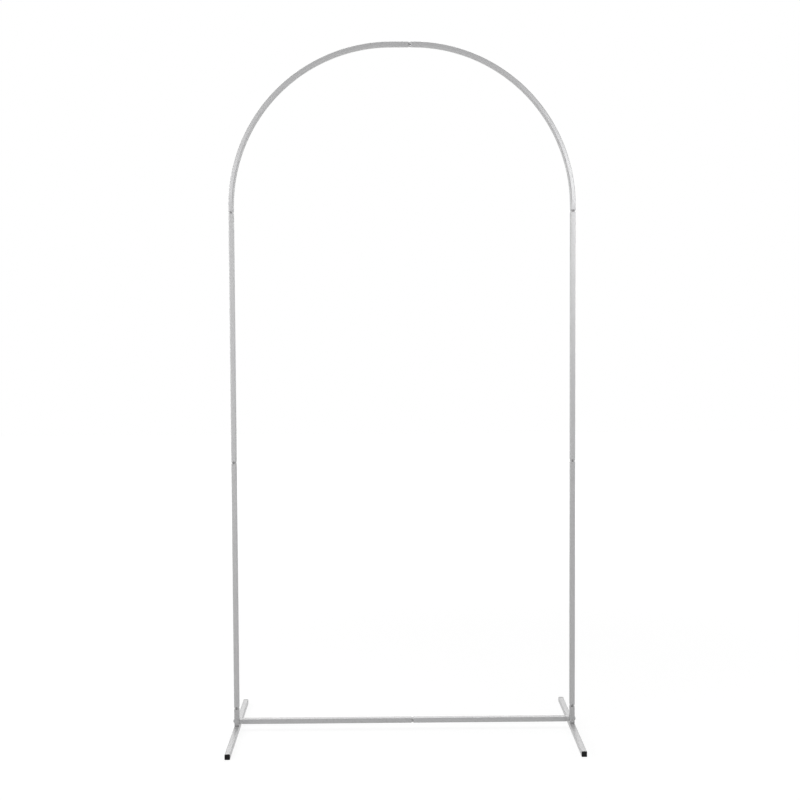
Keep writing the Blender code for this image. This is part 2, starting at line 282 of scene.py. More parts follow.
@dataclass
class Workpiece:
    """One mesh on the bench, shaped in edit mode as by hand."""

    obj: bpy.types.Object

    @classmethod
    def add(
        cls, name: str, primitive: Callable[..., object], centre: Vector, facing: Vector, **sizes: object
    ) -> Workpiece:
        """Add a flat primitive on its own, with its place in its mesh, and open it for editing.

        Args:
            name: Name of the new piece.
            primitive: Operator that adds the primitive.
            centre: Where its middle is.
            facing: Which way it faces.
            sizes: Its sizes, as the operator names them.

        Returns:
            The new workpiece, in edit mode with all of it selected.
        """
        bpy.ops.object.select_all(action="DESELECT")
        turn = facing.to_track_quat("Z", "Y").to_matrix().to_euler()
        primitive(location=centre, rotation=turn, **sizes)
        obj = bpy.context.object
        obj.name = name
        obj.data.name = name
        bpy.ops.object.transform_apply(location=True, rotation=True, scale=True)
        bpy.ops.object.mode_set(mode="EDIT")
        bpy.ops.mesh.select_all(action="SELECT")
        return cls(obj)

    @classmethod
    def square(cls, name: str, centre: Vector, facing: Vector, size: float) -> Workpiece:
        """Start from a square face whose corners are as round for its size as the tube's.

        Args:
            name: Name of the new piece.
            centre: Middle of the face.
            facing: Which way it faces.
            size: Width of the square.

        Returns:
            The new workpiece, in edit mode with the face selected.
        """
        piece = cls.add(name, bpy.ops.mesh.primitive_plane_add, centre, facing, size=size)
        corner = {"offset": TUBE.corner * size / TUBE.size, "segments": TUBE.corner_steps}
        bpy.ops.mesh.bevel(offset_type="OFFSET", affect="VERTICES", **corner)
        bpy.ops.mesh.select_all(action="SELECT")
        return piece

    @classmethod
    def disc(cls, name: str, centre: Vector, facing: Vector, radius: float, sides: int) -> Workpiece:
        """Start from a round face, in edit mode with the face selected."""
        circle = bpy.ops.mesh.primitive_circle_add
        return cls.add(name, circle, centre, facing, vertices=sides, radius=radius, fill_type="NGON")

    @classmethod
    def block(
        cls, name: str, start: Vector, direction: Vector, marks: Marks, sides: int | None
    ) -> Workpiece:
        """Build a closed block of growing and shrinking sections along a line.

        Args:
            name: Name of the piece.
            start: Where the distances start.
            direction: Which way they go.
            marks: Distance and width of each section.
            sides: Number of sides of a section, or none for the tube's rounded square.

        Returns:
            The closed piece, out of edit mode.
        """
        distance, width = marks[0]
        centre = start + direction * distance
        if sides:
            piece = cls.disc(name, centre, direction, width / 2, sides)
        else:
            piece = cls.square(name, centre, direction, width)
        for (before, old_width), (after, new_width) in zip(marks, marks[1:]):
            piece.extrude(direction * (after - before))
            piece.resize(new_width / old_width, start + direction * after)
        piece.close_shape()
        return piece

    def open_outline(self) -> None:
        """Take the face away and keep its outline."""
        bpy.ops.mesh.delete(type="ONLY_FACE")
        bpy.ops.mesh.select_all(action="SELECT")

    def cut_sides(self, longer_than: float, cuts: int) -> None:
        """Divide the long edges of an outline.

        Args:
            longer_than: Shortest edge that is divided.
            cuts: Number of cuts in each of them.
        """
        shape = bmesh.from_edit_mesh(self.obj.data)
        bpy.ops.mesh.select_all(action="DESELECT")
        bpy.ops.mesh.select_mode(type="EDGE")
        for edge in shape.edges:
            edge.select_set(edge.calc_length() > longer_than)
        bmesh.update_edit_mesh(self.obj.data)
        bpy.ops.mesh.subdivide(number_cuts=cuts)
        bpy.ops.mesh.select_mode(type="VERT")
        bpy.ops.mesh.select_all(action="SELECT")

    def extrude(self, step: Vector) -> None:
        """Extrude what is selected, and keep its new end selected."""
        bpy.ops.mesh.extrude_region_move(TRANSFORM_OT_translate={"value": step})

    def resize(self, share: float, centre: Vector) -> None:
        """Scale what is selected about a point."""
        bpy.ops.transform.resize(value=(share, share, share), center_override=centre)

    def close_shape(self) -> None:
        """Leave edit mode, with every face turned outwards."""
        bpy.ops.mesh.select_all(action="SELECT")
        bpy.ops.mesh.normals_make_consistent(inside=False)
        bpy.ops.object.mode_set(mode="OBJECT")

    def make_active(self) -> None:
        """Select this piece alone."""
        bpy.ops.object.select_all(action="DESELECT")
        self.obj.select_set(True)
        bpy.context.view_layer.objects.active = self.obj

    def apply(self, kind: str, **settings: object) -> None:
        """Add a modifier to the finished shape and apply it.

        Args:
            kind: Type of the modifier.
            settings: Its values by name.
        """
        self.make_active()
        modifier = self.obj.modifiers.new(kind.lower(), kind)
        for name, value in settings.items():
            setattr(modifier, name, value)
        bpy.ops.object.modifier_apply(modifier=modifier.name)

    def press(self, weight: Weight, depth: float, direction: str = "NORMAL") -> None:
        """Push the surface in or out where a weight says so.

        Args:
            weight: Share of the depth at each point, from 0 to 1.
            depth: How far the surface goes out, or in when it is negative.
            direction: Axis of the push, or NORMAL.
        """
        group = self.obj.vertex_groups.new(name="pressed")
        for vertex in self.obj.data.vertices:
            share = weight(vertex.co)
            if share > 0:
                group.add([vertex.index], share, "REPLACE")
        settings = {"direction": direction, "vertex_group": group.name}
        self.apply("DISPLACE", strength=depth, mid_level=0, **settings)
        self.obj.vertex_groups.clear()

    def cut_with(self, cutter: Workpiece) -> None:
        """Cut the shape of another piece out of this one, and remove that piece."""
        self.apply("BOOLEAN", operation="DIFFERENCE", solver="EXACT", object=cutter.obj)
        bpy.data.objects.remove(cutter.obj, do_unlink=True)

    def round_edges(self, radius: float) -> None:
        """Round the sharp edges, and shade the piece with its flat faces crisp.

        Args:
            radius: Width of the rounding.
        """
        settings = {"limit_method": "ANGLE", "angle_limit": ROUNDED_TURN, "use_clamp_overlap": True}
        self.apply("BEVEL", width=radius, segments=ROUNDING_STEPS, **settings)
        self.make_active()
        bpy.ops.object.shade_smooth_by_angle(angle=CRISP_TURN)
        self.apply("WEIGHTED_NORMAL", weight=50, keep_sharp=True)

    def keep_values(self, straighten: Straighten, rub_and_end_shade: Weight) -> None:
        """Keep the values that the finish reads: straightened place, edges, hollows, and rubbing, which on
        the weld bead is its painted end shade.

        Args:
            straighten: Gives the place of a point in the straight tube before bending.
            rub: Share of rubbing at a point, from 0 to 1; on the weld bead, the share of its painted end
                shade.
        """
        mesh = self.obj.data
        shape = bmesh.new()
        shape.from_mesh(mesh)
        turns = [[edge.calc_face_angle_signed(0.0) for edge in point.link_edges] for point in shape.verts]
        shape.free()
        masks = {
            Mask.EDGE: [max(angles, default=0.0) / FULL_TURN for angles in turns],
            Mask.HOLLOW: [-min(angles, default=0.0) / FULL_TURN for angles in turns],
            Mask.RUB_AND_END_SHADE: [rub_and_end_shade(vertex.co) for vertex in mesh.vertices],
        }
        for mask, values in masks.items():
            layer = mesh.attributes.new(mask.value, "FLOAT", "POINT")
            layer.data.foreach_set("value", [held(value) for value in values])
        places = [straighten(vertex.co) for vertex in mesh.vertices]
        drawn = mesh.attributes.new(Mask.DRAWN.value, "FLOAT_VECTOR", "POINT")
        drawn.data.foreach_set("vector", [value for place in places for value in place])


@dataclass(frozen=True)
class Clouds:
    """Cloudy noise, of which only the part between two limits counts where it has them."""

    scale: float
    detail: float
    limits: tuple[float, float] | None = None


@dataclass
class NodeSheet:
    """A sheet of shader nodes that is written one node after another."""

    tree: bpy.types.NodeTree

    def add(
        self, kind: str, inputs: dict[str | int, object] | None = None, **settings: object
    ) -> bpy.types.Node:
        """Add a node, set it and join its inputs.

        Args:
            kind: Type of the node, without its ShaderNode prefix.
            inputs: Values or output sockets of other nodes, by input name or number.
            settings: Properties of the node by name.

        Returns:
            The new node.
        """
        node = self.tree.nodes.new(f"ShaderNode{kind}")
        for name, value in settings.items():
            setattr(node, name, value)
        for key, value in (inputs or {}).items():
            if isinstance(value, Socket):
                self.tree.links.new(value, node.inputs[key])
            else:
                node.inputs[key].default_value = value
        return node

    def maths(self, operation: str, *values: object, clamp: bool = False) -> Socket:
        """Add a sum of one operation on numbers or sockets, held between 0 and 1 if clamped."""
        node = self.add("Math", dict(enumerate(values)), operation=operation, use_clamp=clamp)
        return node.outputs[0]

    def noise(self, place: Socket, scale: float | Socket, detail: float) -> Socket:
        """Add cloudy noise, with so many clouds in a metre and so many finer layers."""
        inputs = {"Vector": place, "Scale": scale, "Detail": detail}
        return self.add("TexNoise", inputs).outputs["Fac"]

    def ramp(self, value: Socket, low: float, high: float) -> Socket:
        """Stretch the part of a value between two limits to 0 and 1, with soft ends."""
        inputs = {"Value": value, "From Min": low, "From Max": high}
        return self.add("MapRange", inputs, interpolation_type="SMOOTHSTEP").outputs["Result"]

    def patches(self, place: Socket, clouds: Clouds) -> Socket:
        """Add clouds, cut at their limits where they have them."""
        noise = self.noise(place, clouds.scale, clouds.detail)
        return self.ramp(noise, *clouds.limits) if clouds.limits else noise

    def between(self, share: Socket, low: float, high: float) -> Socket:
        """Turn a share into a value between two others."""
        return self.maths("MULTIPLY_ADD", share, high - low, low)

    def blend(self, mask: Socket, under: Socket, over: Colour) -> Socket:
        """Lay a colour over another where a mask says so."""
        inputs = {"Factor": mask, MIX_UNDER: under, MIX_OVER: (*over, 1)}
        return self.add("Mix", inputs, data_type="RGBA").outputs[MIX_RESULT]

    def relief(self, height: Socket, depth: float, **under: Socket) -> Socket:
        """Turn a height from 0 to 1 into a bumpy normal, on another Normal if one is given."""
        return self.add("Bump", {"Height": height, "Distance": depth, **under}).outputs["Normal"]

    def seen_white(self) -> Socket:
        """Mask of the camera, glossy and transmission rays, which see the plain background.

        Returns:
            Socket that is 1 for those rays.
        """
        path = self.add("LightPath").outputs
        either = self.maths("MAXIMUM", path["Is Camera Ray"], path["Is Glossy Ray"])
        return self.maths("MAXIMUM", either, path["Is Transmission Ray"])

    def feed(self, node: bpy.types.Node, name: str, value: Socket) -> None:
        """Join an output to a named input."""
        self.tree.links.new(value, node.inputs[name])

    def read(self, mask: Mask, output: str = "Fac") -> Socket:
        """Read one of the values kept in the mesh."""
        return self.add("Attribute", attribute_name=mask.value).outputs[output]


@dataclass(frozen=True)
class Effect:
    """A shader group that several finishes share, built once."""

    name: ClassVar[str]
    takes: ClassVar[tuple[str, ...]]
    gives: ClassVar[str]

    def draw(self, sheet: NodeSheet, given: dict[str, Socket]) -> Socket:
        """Draw the group's nodes, which each kind of effect does in its own way."""
        raise NotImplementedError

    def group(self) -> bpy.types.NodeTree:
        """Build the group with its sockets.

        Returns:
            The new group.
        """
        tree = bpy.data.node_groups.new(self.name, "ShaderNodeTree")
        labels = [(label, "INPUT") for label in self.takes] + [(self.gives, "OUTPUT")]
        for label, way in labels:
            kind = f"NodeSocket{SOCKET_KINDS.get(label, 'Float')}"
            tree.interface.new_socket(label, in_out=way, socket_type=kind)
        given = tree.nodes.new("NodeGroupInput").outputs
        drawn = self.draw(NodeSheet(tree), given)
        tree.links.new(drawn, tree.nodes.new("NodeGroupOutput").inputs[0])
        return tree

    def place(self, sheet: NodeSheet, **inputs: object) -> Socket:
        """Put the effect into a material, with the values or sockets of its inputs by name."""
        tree = bpy.data.node_groups.get(self.name) or self.group()
        return sheet.add("Group", inputs, node_tree=tree).outputs[0]


@dataclass(frozen=True)
class OrangePeel(Effect):
    """Soft dimpled skin of a baked powder coat, as a height from 0 to 1."""

    name = "orange_peel"
    takes = ("Place", "Dimples")
    gives = "Height"
    detail: float = 1.0
    finer: float = 2.7
    fine_share: float = 0.35

    def draw(self, sheet: NodeSheet, given: dict[str, Socket]) -> Socket:
        """Draw wide dimples and finer ones.

        Args:
            sheet: The group's nodes.
            given: The group's inputs by name.

        Returns:
            Socket of the height.
        """
        wide = sheet.noise(given["Place"], given["Dimples"], self.detail)
        scale = sheet.maths("MULTIPLY", given["Dimples"], self.finer)
        fine = sheet.noise(given["Place"], scale, self.detail)
        share = sheet.maths("MULTIPLY", fine, self.fine_share)
        return sheet.maths("MULTIPLY_ADD", wide, 1 - self.fine_share, share)


@dataclass(frozen=True)
class DrawLines(Effect):
    """Faint lines along a drawn tube or round a turned piece, as a height from 0 to 1."""

    name = "draw_lines"
    takes = ("Place", "Stretch")
    gives = "Height"
    lines: Clouds = Clouds(1400.0, 3.0)

    def draw(self, sheet: NodeSheet, given: dict[str, Socket]) -> Socket:
        """Draw fine noise that is stretched along the tube.

        Args:
            sheet: The group's nodes.
            given: The group's inputs by name.

        Returns:
            Socket of the height.
        """
        along = sheet.add("CombineXYZ", {"X": 1.0, "Y": 1.0, "Z": given["Stretch"]})
        inputs = {0: given["Place"], 1: along.outputs["Vector"]}
        place = sheet.add("VectorMath", inputs, operation="MULTIPLY")
        return sheet.patches(place.outputs["Vector"], self.lines)


@dataclass(frozen=True)
class ToneDrift(Effect):
    """Colour that drifts in wide clouds and glints in fine flakes."""

    name = "tone_drift"
    takes = ("Place", "Colour", "Drift", "Flake")
    gives = "Colour"
    clouds: Clouds = Clouds(7.0, 3.0)
    flakes: float = 3600.0
    middle: float = 0.5

    def draw(self, sheet: NodeSheet, given: dict[str, Socket]) -> Socket:
        """Draw a change of brightness about the colour.

        Args:
            sheet: The group's nodes.
            given: The group's inputs by name.

        Returns:
            Socket of the colour.
        """
        clouds = sheet.maths("SUBTRACT", sheet.patches(given["Place"], self.clouds), self.middle)
        flakes = sheet.add("TexVoronoi", {"Vector": given["Place"], "Scale": self.flakes})
        glints = sheet.maths("SUBTRACT", flakes.outputs["Color"], self.middle)
        drift = sheet.maths("MULTIPLY_ADD", clouds, given["Drift"], 1.0)
        value = sheet.maths("MULTIPLY_ADD", glints, given["Flake"], drift)
        inputs = {"Color": given["Colour"], "Value": value, "Saturation": 1.0}
        return sheet.add("HueSaturation", inputs).outputs["Color"]


@dataclass(frozen=True)
class WearAndShade(Effect):
    """Mask of edges and joints where the coat is rubbed thin, which also carries the painted shade at the
    weld bead's ends.
    """

    name = "edge_wear"
    takes = ("Place", "Edge", "Rub_and_end_shade", "Amount")
    gives = "Mask"
    worn: Clouds = Clouds(160.0, 4.0, (0.45, 0.72))
    nicks: Clouds = Clouds(900.0, 3.0, (0.5, 0.75))
    nick_share: float = 0.5
    unbroken: float = 0.35
    rub_and_end_shade_share: float = 0.7

    def draw(self, sheet: NodeSheet, given: dict[str, Socket]) -> Socket:
        """Draw worn patches and nicks, and keep them to the edges and the rubbed joints.

        Args:
            sheet: The group's nodes.
            given: The group's inputs by name.

        Returns:
            Socket of the mask.
        """
        patches = sheet.patches(given["Place"], self.worn)
        nicks = sheet.patches(given["Place"], self.nicks)
        spots = sheet.maths("MULTIPLY_ADD", nicks, self.nick_share, patches, clamp=True)
        rubbed = sheet.maths("MULTIPLY", given["Rub_and_end_shade"], self.rub_and_end_shade_share)
        reach = sheet.maths("MAXIMUM", given["Edge"], rubbed)
        worn = sheet.maths("MULTIPLY", reach, sheet.between(spots, self.unbroken, 1.0))
        return sheet.maths("MULTIPLY", worn, given["Amount"], clamp=True)


@dataclass(frozen=True)
class Dust(Effect):
    """Mask of fine dust, in hollows and thinly on what faces up."""

    name = "dust"
    takes = ("Place", "Normal", "Hollow", "Amount")
    gives = "Mask"
    level: float = 0.55
    settled: float = 0.35
    specks: Clouds = Clouds(420.0, 5.0, (0.38, 0.7))

    def draw(self, sheet: NodeSheet, given: dict[str, Socket]) -> Socket:
        """Draw dust on level faces and in hollows, broken into specks.

        Args:
            sheet: The group's nodes.
            given: The group's inputs by name.

        Returns:
            Socket of the mask.
        """
        parts = sheet.add("SeparateXYZ", {"Vector": given["Normal"]})
        upward = sheet.ramp(parts.outputs["Z"], self.level, 1.0)
        lying = sheet.maths("MAXIMUM", sheet.maths("MULTIPLY", upward, self.settled), given["Hollow"])
        broken = sheet.maths("MULTIPLY", lying, sheet.patches(given["Place"], self.specks))
        return sheet.maths("MULTIPLY", broken, given["Amount"], clamp=True)


@dataclass(frozen=True, kw_only=True)
class Finish:
    """A finish whose tone drifts, which wears on edges and holds dust in hollows; on some finishes the worn
    places also carry painted shade.
    """

    name: str
    slot: Slot
    colour: Colour
    overlay_colour: Colour
    dust: Colour
    drift: float
    flake: float
    clouds: Clouds
    fixed: Values
    roughness: float
    roughness_spread: tuple[float, float]
    polish: float = 0.0
    dusty_roughness: float = 0.3
    wear: float
    dirt: float

    def shows(self, worn: Socket, patches: Socket) -> Socket:
        """Mask of where the overlay colour shows."""
        return worn

    def detail(self, sheet: NodeSheet, shader: bpy.types.Node, place: Socket, worn: Socket) -> Socket:
        """Draw the surface's relief and what else is its own, which each finish does itself."""
        raise NotImplementedError

    def material(self) -> bpy.types.Material:
        """Build the finish.

        Returns:
            The material.
        """
        material = bpy.data.materials.new(self.name)
        material.use_nodes = True
        sheet = NodeSheet(material.node_tree)
        shader = material.node_tree.nodes["Principled BSDF"]
        for name, value in self.fixed:
            shader.inputs[name].default_value = value
        place = sheet.read(Mask.DRAWN, "Vector")
        tones = {"Colour": (*self.colour, 1), "Drift": self.drift, "Flake": self.flake}
        tone = ToneDrift().place(sheet, Place=place, **tones)
        rubbed = {"Edge": sheet.read(Mask.EDGE), "Rub_and_end_shade": sheet.read(Mask.RUB_AND_END_SHADE), "Amount": self.wear}
        worn = WearAndShade().place(sheet, Place=place, **rubbed)
        facing = sheet.add("NewGeometry").outputs["Normal"]
        lying = {"Normal": facing, "Hollow": sheet.read(Mask.HOLLOW), "Amount": self.dirt}
        dusty = Dust().place(sheet, Place=place, **lying)
        patches = sheet.patches(place, self.clouds)
        # The overlay colour shows where the wear mask falls; on the powder coat and the weld it is partly
        # painted shade.
        shown = sheet.blend(self.shows(worn, patches), tone, self.overlay_colour)
        sheet.feed(shader, "Base Color", sheet.blend(dusty, shown, self.dust))
        sheen = sheet.between(patches, *(self.roughness + spread for spread in self.roughness_spread))
        if self.polish:
            sheen = sheet.maths("MULTIPLY_ADD", worn, self.polish, sheen)
        settled = sheet.maths("MULTIPLY_ADD", dusty, self.dusty_roughness, sheen, clamp=True)
        sheet.feed(shader, "Roughness", settled)
        sheet.feed(shader, "Normal", self.detail(sheet, shader, place, worn))
        return material


@dataclass(frozen=True, kw_only=True)
class PowderCoat(Finish):
    """Satin silver powder coat, with fine flakes, soft dimples and rubbed edges whose dark colour is partly
    painted shade.
    """

    name: str = "silver_powder_coat"
    slot: Slot = Slot.PAINT
    colour: Colour = (0.49, 0.49, 0.495)
    # Dark colour of the rubbed edges: partly bare steel, partly painted shade that darkens the tube's
    # corners.
    overlay_colour: Colour = (0.30, 0.295, 0.29)
    dust: Colour = (0.36, 0.34, 0.31)
    drift: float = 0.05
    flake: float = 0.05
    clouds: Clouds = Clouds(45.0, 3.0)
    metallic: float = 0.35
    overlay_colour_metallic: float = 0.7
    roughness: float = 0.36
    roughness_spread: tuple[float, float] = (-0.03, 0.03)
    polish: float = -0.1
    dusty_roughness: float = 0.25
    fixed: Values = (("Coat Weight", 0.12), ("Coat Roughness", 0.22))
    dimples: float = 760.0
    dimple_depth: float = 14 * MICRON
    line_stretch: float = 0.02
    line_depth: float = 7 * MICRON
    wear: float = 0.5
    dirt: float = 0.4

    def detail(self, sheet: NodeSheet, shader: bpy.types.Node, place: Socket, worn: Socket) -> Socket:
        """Draw the metal of the flakes, the drawing lines and the dimples.

        Args:
            sheet: The material's nodes.
            shader: Its shader.
            place: Where patterns are read.
            worn: Mask of the rubbed edges, where the dark colour also paints shade.

        Returns:
            Socket of the bumpy normal.
        """
        sheet.feed(shader, "Metallic", sheet.between(worn, self.metallic, self.overlay_colour_metallic))
        lines = DrawLines().place(sheet, Place=place, Stretch=self.line_stretch)
        skin = OrangePeel().place(sheet, Place=place, Dimples=self.dimples)
        return sheet.relief(skin, self.dimple_depth, Normal=sheet.relief(lines, self.line_depth))


@dataclass(frozen=True, kw_only=True)
class ZincPlate(Finish):
    """Bright zinc plate on turned and cut steel, with a faint bluish bloom."""

    name: str = "zinc_plate"
    slot: Slot = Slot.ZINC
    colour: Colour = (0.31, 0.315, 0.325)
    overlay_colour: Colour = (0.26, 0.265, 0.25)
    dust: Colour = (0.20, 0.19, 0.17)
    drift: float = 0.2
    flake: float = 0.1
    clouds: Clouds = Clouds(260.0, 3.0, (0.42, 0.66))
    fixed: Values = (("Metallic", 0.9),)
    roughness: float = 0.34
    roughness_spread: tuple[float, float] = (-0.06, 0.08)
    polish: float = -0.15
    line_stretch: float = 0.05
    line_depth: float = 15 * MICRON
    wear: float = 0.3
    dirt: float = 0.5

    def shows(self, worn: Socket, patches: Socket) -> Socket:
        """Mask of where the bloom shows."""
        return patches

    def detail(self, sheet: NodeSheet, shader: bpy.types.Node, place: Socket, worn: Socket) -> Socket:
        """Draw the lines of turning."""
        lines = DrawLines().place(sheet, Place=place, Stretch=self.line_stretch)
        return sheet.relief(lines, self.line_depth)


@dataclass(frozen=True, kw_only=True)
class BlackPlastic(Finish):
    """Black moulded plastic with a fine grain, slightly pale on its edges."""

    name: str = "black_moulded_plastic"
    slot: Slot = Slot.PLASTIC
    colour: Colour = (0.006, 0.006, 0.0065)
    overlay_colour: Colour = (0.03, 0.03, 0.031)
    dust: Colour = (0.07, 0.066, 0.06)
    drift: float = 0.3
    flake: float = 0.2
    clouds: Clouds = Clouds(380.0, 4.0)
    fixed: Values = (("Specular IOR Level", 0.14),)
    roughness: float = 0.42
    roughness_spread: tuple[float, float] = (-0.07, 0.07)
    grain: float = 2400.0
    grain_depth: float = 30 * MICRON
    wear: float = 0.6
    dirt: float = 0.5

    def detail(self, sheet: NodeSheet, shader: bpy.types.Node, place: Socket, worn: Socket) -> Socket:
        """Draw the moulded grain."""
        skin = OrangePeel().place(sheet, Place=place, Dimples=self.grain)
        return sheet.relief(skin, self.grain_depth)


PAINT = PowderCoat()
SHADED_WELD_PAINT = PowderCoat(
    name="painted_weld",
    slot=Slot.WELD,
    # Darker than the frame's coat, though it is the same paint: painted shade of the hollow corner that the
    # weld lies in.
    colour=(0.30, 0.30, 0.305),
    # Nearly black where the wear mask falls; at the bead's two ends this is painted shade of the corner.
    overlay_colour=(0.07, 0.065, 0.06),
    dust=(0.20, 0.19, 0.17),
    drift=0.25,
    metallic=0.15,
    roughness=0.5,
    dimples=1500.0,
    wear=1.0,
    dirt=0.8,
)
ZINC = ZincPlate()
PLASTIC = BlackPlastic()


@dataclass
class TubeRun:
    """A square tube that grows ring after ring along its middle line."""

    piece: Workpiece
    centre: Vector
    direction: Vector

    @classmethod
    def start(cls, name: str, centre: Vector, direction: Vector, share: float) -> TubeRun:
        """Draw the first ring.

        Args:
            name: Name of the new piece.
            centre: Middle of the first ring.
            direction: Which way the tube goes.
            share: Size of the ring as a share of the full tube.

        Returns:
            The new run, in edit mode with its first ring selected.
        """
        piece = Workpiece.square(name, centre, direction, TUBE.size)
        piece.open_outline()
        piece.cut_sides(TUBE.size / 2, TUBE.side_cuts)
        piece.resize(share, centre)
        return cls(piece, centre, direction)

    def follow(self, marks: Marks) -> None:
        """Carry the tube straight on through marks, of which the first is where it stands.

        Args:
            marks: Distance along the tube and size share of each ring.
        """
        for (before, old_share), (after, new_share) in zip(marks, marks[1:]):
            step = self.direction * abs(after - before)
            self.piece.extrude(step)
            self.centre = self.centre + step
            if not math.isclose(new_share, old_share):
                self.piece.resize(new_share / old_share, self.centre)

    def bend(self, centre: Vector, axis: Vector, steps: int) -> None:
        """Bend the tube through a quarter of a circle.

        Args:
            centre: Middle of the circle.
            axis: Axis of the circle.
            steps: Number of rings on the way.
        """
        bpy.ops.mesh.spin(steps=steps, angle=-QUARTER_TURN, center=centre, axis=axis)
        turn = Matrix.Rotation(QUARTER_TURN, 3, axis)
        self.centre = centre + turn @ (self.centre - centre)
        self.direction = turn @ self.direction

    def close(self) -> Workpiece:
        """Finish the outer skin of the tube."""
        self.piece.close_shape()
        return self.piece


@dataclass
class Workshop:
    """Gives the tubes their plugs, walls and rims, and dresses every piece in its finish."""

    sizes: FrameSizes
    rim: float = 0.22 * MILLIMETRE
    rubbed_run: float = 9 * MILLIMETRE
    mixed: dict[str, bpy.types.Material] = field(default_factory=dict)

    def complete(
        self,
        skin: Workpiece,
        node: str,
        straighten: Straighten,
        mouths: tuple[float, ...],
        plugs: dict[float, int],
        cutter: Workpiece | None = None,
    ) -> None:
        """Make a finished and dressed tube out of its outer skin.

        Args:
            skin: The tube's outer skin.
            node: Name of the node that it replaces.
            straighten: Gives the place of a point in the straight tube.
            mouths: Distances along the tube at which it is rubbed by plugging.
            plugs: For each plug's mouth, 1 where the tube goes on upwards and -1 where downwards.
            cutter: What is cut out of the tube, or none.
        """

        def pressed(point: Vector) -> float:
            """Share of the grooves' depth at a point."""
            x, y, z = straighten(point)
            return max(PLUG.groove(min(abs(x), abs(y)), way * (z - mouth)) for mouth, way in plugs.items())

        def rubbed(point: Vector) -> float:
            """Share of rubbing at a point, which fades away from the mouths."""
            along = straighten(point).z
            return 1 - min((abs(along - mouth) for mouth in mouths), default=1.0) / self.rubbed_run

        if plugs:
            skin.press(pressed, -PLUG.groove_depth)
        inwards = {"offset": -1, "use_even_offset": True, "use_quality_normals": True}
        skin.apply("SOLIDIFY", thickness=TUBE.wall, **inwards)
        if cutter:
            skin.cut_with(cutter)
        skin.round_edges(self.rim)
        skin.keep_values(straighten, rubbed)
        self.dress(skin, node, PAINT)

    def dress(self, piece: Workpiece, node: str, finish: Finish) -> None:
        """Dress a finished piece and let it stand for its node of the frame.

        Args:
            piece: The finished piece.
            node: Name of the node that it replaces.
            finish: Its finish, which is mixed once.
        """
        if finish.name not in self.mixed:
            self.mixed[finish.name] = finish.material()
        obj = piece.obj
        obj.data.materials.clear()
        obj.data.materials.append(self.mixed[finish.name])
        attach(obj, "root")
        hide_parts(node)
        LOG.info("%s stands for %s: %d faces", obj.name, node, len(obj.data.polygons))


@dataclass(frozen=True)
class StraightTube:
    """A straight tube, whose marks and mouths are places on the axis that it lies along."""

    name: str
    node: str
    origin: Vector
    axis: Axis
    marks: Marks
    mouths: tuple[float, ...] = ()
    plugged_at: float | None = None

    def straighten(self, point: Vector) -> Vector:
        """Place of a point across, into and along the tube."""
        x, y, z = point - self.origin
        return Vector(((z, y, x), (x, z, y), (x, y, z))[self.axis.value])

    def build(self, shop: Workshop, cutter: Workpiece | None = None) -> None:
        """Make the tube.

        Args:
            shop: The workshop that finishes it.
            cutter: What is cut out of it, or none.
        """
        direction = self.axis.direction
        distance, share = self.marks[0]
        run = TubeRun.start(self.name, self.origin + direction * distance, direction, share)
        run.follow(self.marks)
        plugs = {} if self.plugged_at is None else {self.plugged_at: 1}
        shop.complete(run.close(), self.node, self.straighten, self.mouths, plugs, cutter)


